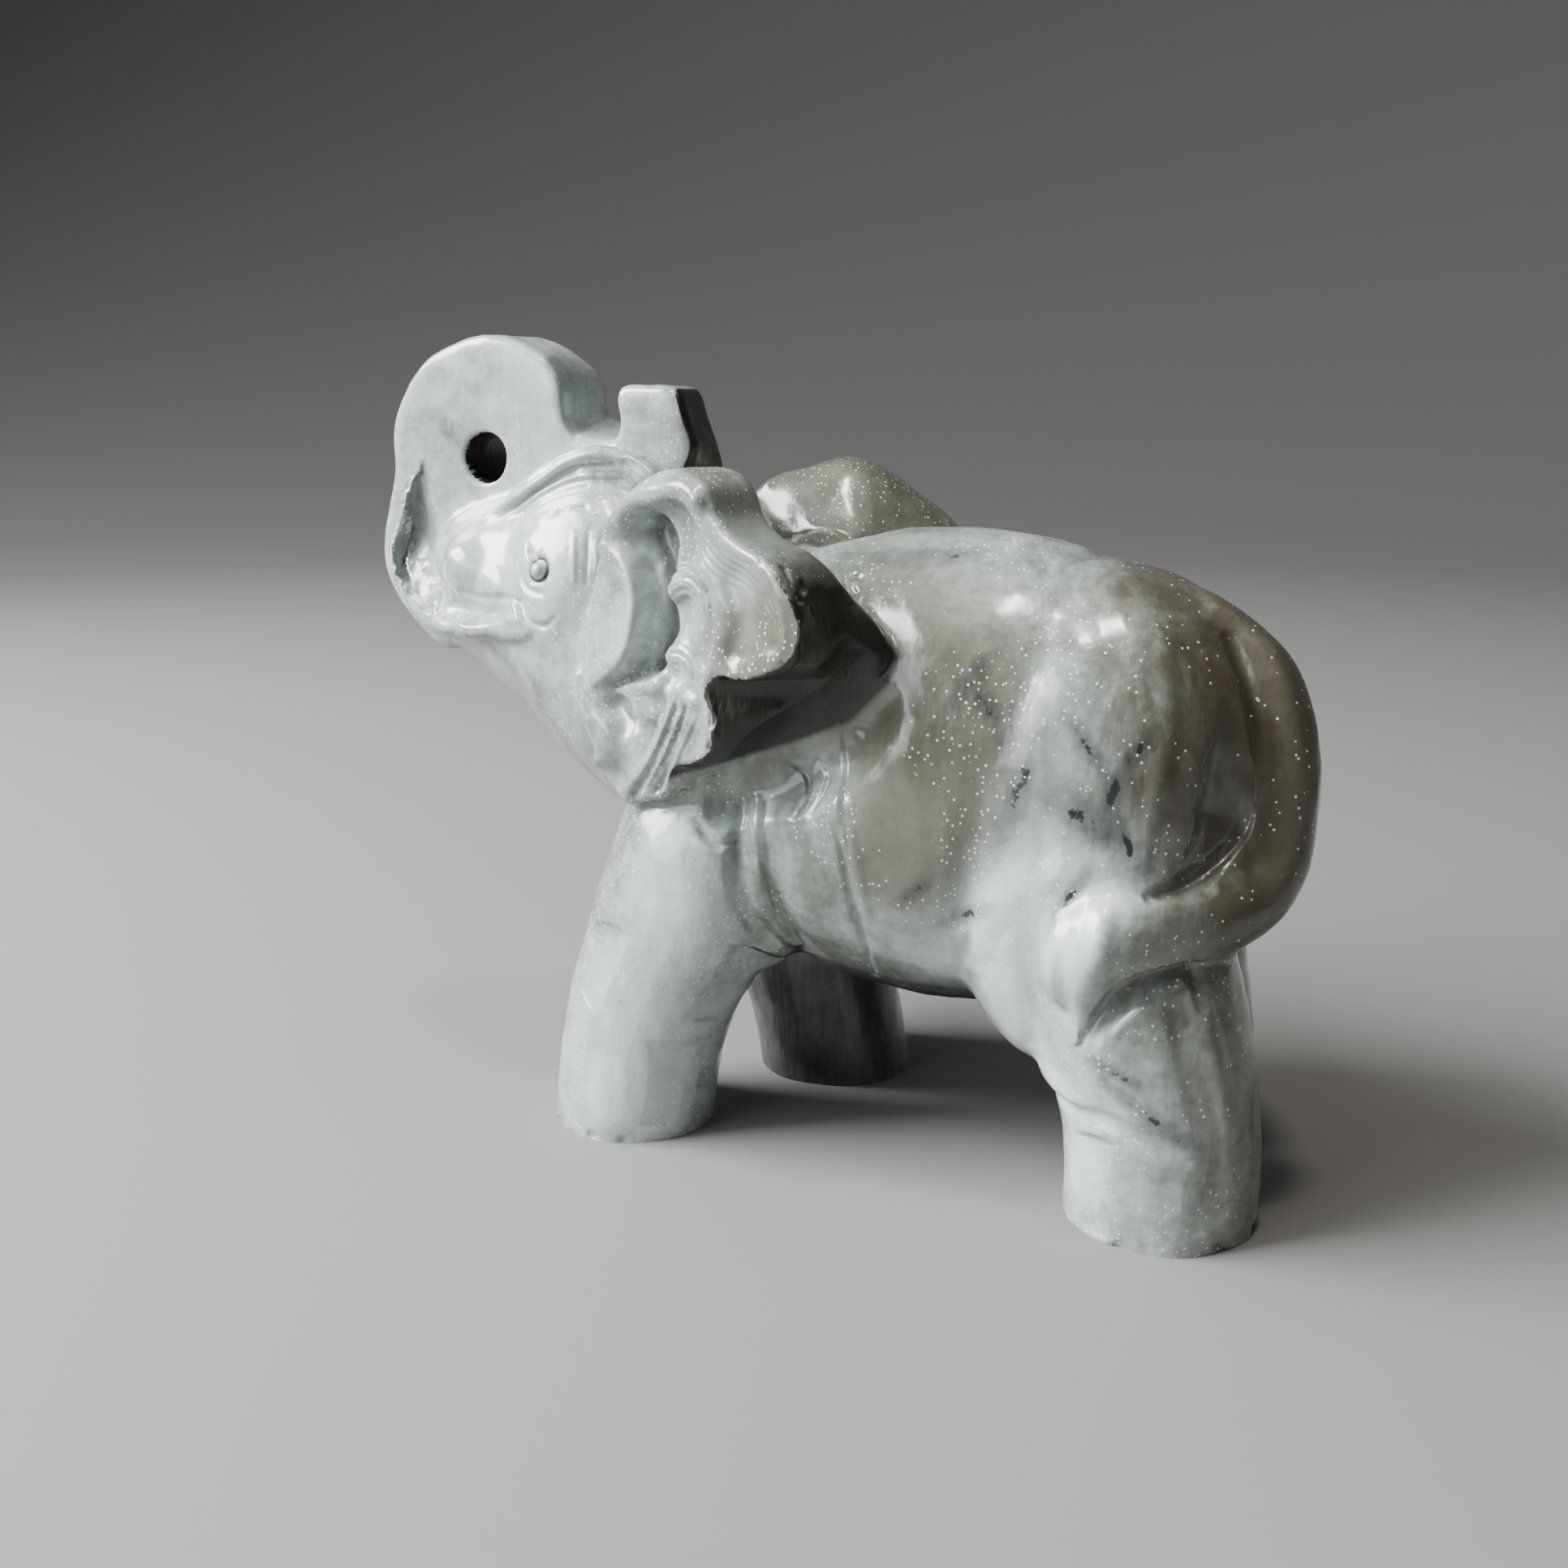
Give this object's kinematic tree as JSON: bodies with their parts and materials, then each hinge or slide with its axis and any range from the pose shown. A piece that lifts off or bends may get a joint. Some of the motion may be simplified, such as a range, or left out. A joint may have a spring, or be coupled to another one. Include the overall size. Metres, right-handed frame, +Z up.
{
  "type": "stone elephant figurine",
  "caption": "Walking elephant carved from one piece of mottled grey-green stone, trunk raised and curled back over the forehead, tail swept round the left haunch.",
  "frame": {"origin": "on the ground under the middle of the carving's bounding box", "axes": "the elephant faces -Y, its left side is +X, +Z up"},
  "size_m": [0.0398, 0.0778, 0.0616],
  "materials": {
    "polished_stone": "waxy polish over fine tool marks, mottled grey-green with dark flecks and veins, olive brown towards the tail"
  },
  "bodies": {
    "root": {"elephant": "polished_stone"}
  },
  "joints": []
}
